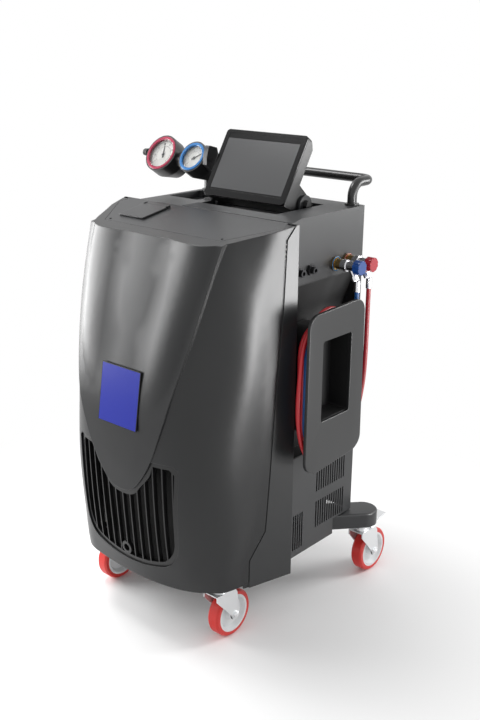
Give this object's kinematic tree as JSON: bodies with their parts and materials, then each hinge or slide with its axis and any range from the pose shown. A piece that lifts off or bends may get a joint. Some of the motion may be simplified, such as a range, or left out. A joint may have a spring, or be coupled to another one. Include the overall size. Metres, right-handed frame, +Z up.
{
  "type": "air conditioning recharge station",
  "caption": "Wheeled recharge cabinet: bulged hood with raised shield and grille, tilting display, gauge pod, hose winder in a side recess, push handle, braked swivel casters",
  "frame": {"origin": "on the floor, under the middle of the overall box measured without the free hoses and their couplers", "axes": "+Z up, -Y to the front with the hood and the display, +X to the side with the hose winder"},
  "size_m": [0.7164, 0.7396, 1.22],
  "materials": {
    "hood_plastic": "satin charcoal",
    "grille_plastic": "fine-grained black",
    "panel_metal": "textured charcoal powder coat",
    "badge_blue": "deep blue plate",
    "handle_metal": "black powder coat",
    "device_plastic": "moulded black",
    "screen_glass": "dark display glass",
    "dial_white": "printed dial",
    "dial_glass": "clear",
    "needle_black": "black",
    "fitting_brass": "machined",
    "coupler_chrome": "polished",
    "knob_blue": "moulded blue",
    "knob_red": "moulded red",
    "hose_blue": "smooth blue cover",
    "hose_red": "smooth red cover",
    "caster_steel": "zinc plated",
    "hub_white": "white moulded",
    "tread_red": "red cast tread",
    "tank_paint": "grey enamel",
    "machine_iron": "black enamel",
    "core_aluminium": "finned",
    "fan_plastic": "moulded black"
  },
  "bodies": {
    "cabinet": {"front_hood": "hood_plastic", "top_lid": "hood_plastic", "front_grille": "grille_plastic", "front_flange": "grille_plastic", "winder_plate": "grille_plastic", "hose_bay": "grille_plastic", "hose_drum": "grille_plastic", "printer_unit": "grille_plastic", "side_panel_right": "panel_metal", "side_panel_left": "panel_metal", "rear_panel": "panel_metal", "top_cover": "panel_metal", "base_frame": "panel_metal", "rear_outriggers": "panel_metal", "gauge_arm": "panel_metal", "display_base": "panel_metal", "badge_plate": "badge_blue", "push_handle": "handle_metal", "power_inlet": "device_plastic", "outlet_fittings": "fitting_brass", "storage_ports": "fitting_brass", "coupler_low_body": "coupler_chrome", "coupler_high_body": "coupler_chrome", "hose_low_tube": "hose_blue", "hose_low_coil": "hose_blue", "hose_high_tube": "hose_red", "hose_high_coil": "hose_red", "refrigerant_tank": "tank_paint", "compressor": "machine_iron", "vacuum_pump": "machine_iron", "condenser": "core_aluminium"},
    "printer_door": {"printer_door": "hood_plastic"},
    "display": {"display_housing": "device_plastic", "display_bezel": "device_plastic", "display_screen": "screen_glass"},
    "gauge_pod": {"gauge_housing": "device_plastic", "gauge_bezels": "device_plastic", "gauge_lenses": "dial_glass", "gauge_dials": "dial_white"},
    "gauge_clamp": {"gauge_knob": "device_plastic"},
    "needle_high": {"gauge_needle_high": "needle_black"},
    "needle_low": {"gauge_needle_low": "needle_black"},
    "knob_low": {"coupler_low_knob": "knob_blue"},
    "knob_high": {"coupler_high_knob": "knob_red"},
    "switch": {"main_switch": "device_plastic"},
    "fan": {"condenser_fan": "fan_plastic"},
    "caster_front_left_swivel": {"caster_front_left_fork": "caster_steel"},
    "caster_front_left_wheel": {"caster_front_left_hub": "hub_white", "caster_front_left_tread": "tread_red"},
    "caster_front_right_swivel": {"caster_front_right_fork": "caster_steel"},
    "caster_front_right_wheel": {"caster_front_right_hub": "hub_white", "caster_front_right_tread": "tread_red"},
    "caster_rear_left_swivel": {"caster_rear_left_fork": "caster_steel"},
    "caster_rear_left_wheel": {"caster_rear_left_hub": "hub_white", "caster_rear_left_tread": "tread_red"},
    "caster_rear_right_swivel": {"caster_rear_right_fork": "caster_steel"},
    "caster_rear_right_wheel": {"caster_rear_right_hub": "hub_white", "caster_rear_right_tread": "tread_red"},
    "pedal_left": {"brake_pedal_left": "caster_steel"},
    "pedal_right": {"brake_pedal_right": "caster_steel"}
  },
  "joints": [
    {"name": "printer_door_hinge", "type": "hinge", "parent": "cabinet", "child": "printer_door", "pos_m": [-0.13775, -0.08551, 1.04268], "axis": [-1, 0, 0], "range_deg": [0, 95]},
    {"name": "display_tilt", "type": "hinge", "parent": "cabinet", "child": "display", "pos_m": [0.03825, 0.1203, 1.054], "axis": [1, 0, 0], "range_deg": [-25, 15]},
    {"name": "gauge_tilt", "type": "hinge", "parent": "cabinet", "child": "gauge_pod", "pos_m": [-0.22675, 0.0863, 1.1425], "axis": [1, 0, 0], "range_deg": [-25, 25]},
    {"name": "gauge_clamp_turn", "type": "hinge", "parent": "gauge_pod", "child": "gauge_clamp", "pos_m": [-0.34875, 0.0863, 1.1425], "axis": [1, 0, 0], "range_deg": [-180, 180]},
    {"name": "needle_high_turn", "type": "hinge", "parent": "gauge_pod", "child": "needle_high", "pos_m": [-0.28475, 0.0763, 1.147], "axis": [0, -0.8387, 0.5446], "range_deg": [-150, 120]},
    {"name": "needle_low_turn", "type": "hinge", "parent": "gauge_pod", "child": "needle_low", "pos_m": [-0.16875, 0.0763, 1.147], "axis": [0, -0.8387, 0.5446], "range_deg": [-80, 190]},
    {"name": "knob_low_turn", "type": "hinge", "parent": "cabinet", "child": "knob_low", "pos_m": [0.34525, 0.1203, 0.922], "axis": [1, 0, 0], "range_deg": [0, 540]},
    {"name": "knob_high_turn", "type": "hinge", "parent": "cabinet", "child": "knob_high", "pos_m": [0.34525, 0.1703, 0.922], "axis": [1, 0, 0], "range_deg": [0, 540]},
    {"name": "switch_rock", "type": "hinge", "parent": "cabinet", "child": "switch", "pos_m": [-0.16675, 0.2373, 0.35], "axis": [1, 0, 0], "range_deg": [-14, 0]},
    {"name": "fan_spin", "type": "hinge", "parent": "cabinet", "child": "fan", "pos_m": [0.00325, -0.2397, 0.3104], "axis": [0, 1, 0], "continuous": true},
    {"name": "caster_front_left_swivel", "type": "hinge", "parent": "cabinet", "child": "caster_front_left_swivel", "pos_m": [-0.20525, -0.2367, 0.15], "axis": [0, 0, 1], "continuous": true},
    {"name": "caster_front_left_spin", "type": "hinge", "parent": "caster_front_left_swivel", "child": "caster_front_left_wheel", "pos_m": [-0.20525, -0.1987, 0.0625], "axis": [1, 0, 0], "continuous": true},
    {"name": "caster_front_right_swivel", "type": "hinge", "parent": "cabinet", "child": "caster_front_right_swivel", "pos_m": [0.21175, -0.2367, 0.15], "axis": [0, 0, 1], "continuous": true},
    {"name": "caster_front_right_spin", "type": "hinge", "parent": "caster_front_right_swivel", "child": "caster_front_right_wheel", "pos_m": [0.21175, -0.1987, 0.0625], "axis": [1, 0, 0], "continuous": true},
    {"name": "caster_rear_left_swivel", "type": "hinge", "parent": "cabinet", "child": "caster_rear_left_swivel", "pos_m": [-0.28775, 0.2693, 0.15], "axis": [0, 0, 1], "continuous": true},
    {"name": "caster_rear_left_spin", "type": "hinge", "parent": "caster_rear_left_swivel", "child": "caster_rear_left_wheel", "pos_m": [-0.28775, 0.3073, 0.0625], "axis": [1, 0, 0], "continuous": true},
    {"name": "caster_rear_right_swivel", "type": "hinge", "parent": "cabinet", "child": "caster_rear_right_swivel", "pos_m": [0.29425, 0.2693, 0.15], "axis": [0, 0, 1], "continuous": true},
    {"name": "caster_rear_right_spin", "type": "hinge", "parent": "caster_rear_right_swivel", "child": "caster_rear_right_wheel", "pos_m": [0.29425, 0.3073, 0.0625], "axis": [1, 0, 0], "continuous": true},
    {"name": "brake_pedal_left_press", "type": "hinge", "parent": "caster_rear_left_swivel", "child": "pedal_left", "pos_m": [-0.28775, 0.2953, 0.1442], "axis": [1, 0, 0], "range_deg": [-10, 0]},
    {"name": "brake_pedal_right_press", "type": "hinge", "parent": "caster_rear_right_swivel", "child": "pedal_right", "pos_m": [0.29425, 0.2953, 0.1442], "axis": [1, 0, 0], "range_deg": [-10, 0]}
  ]
}
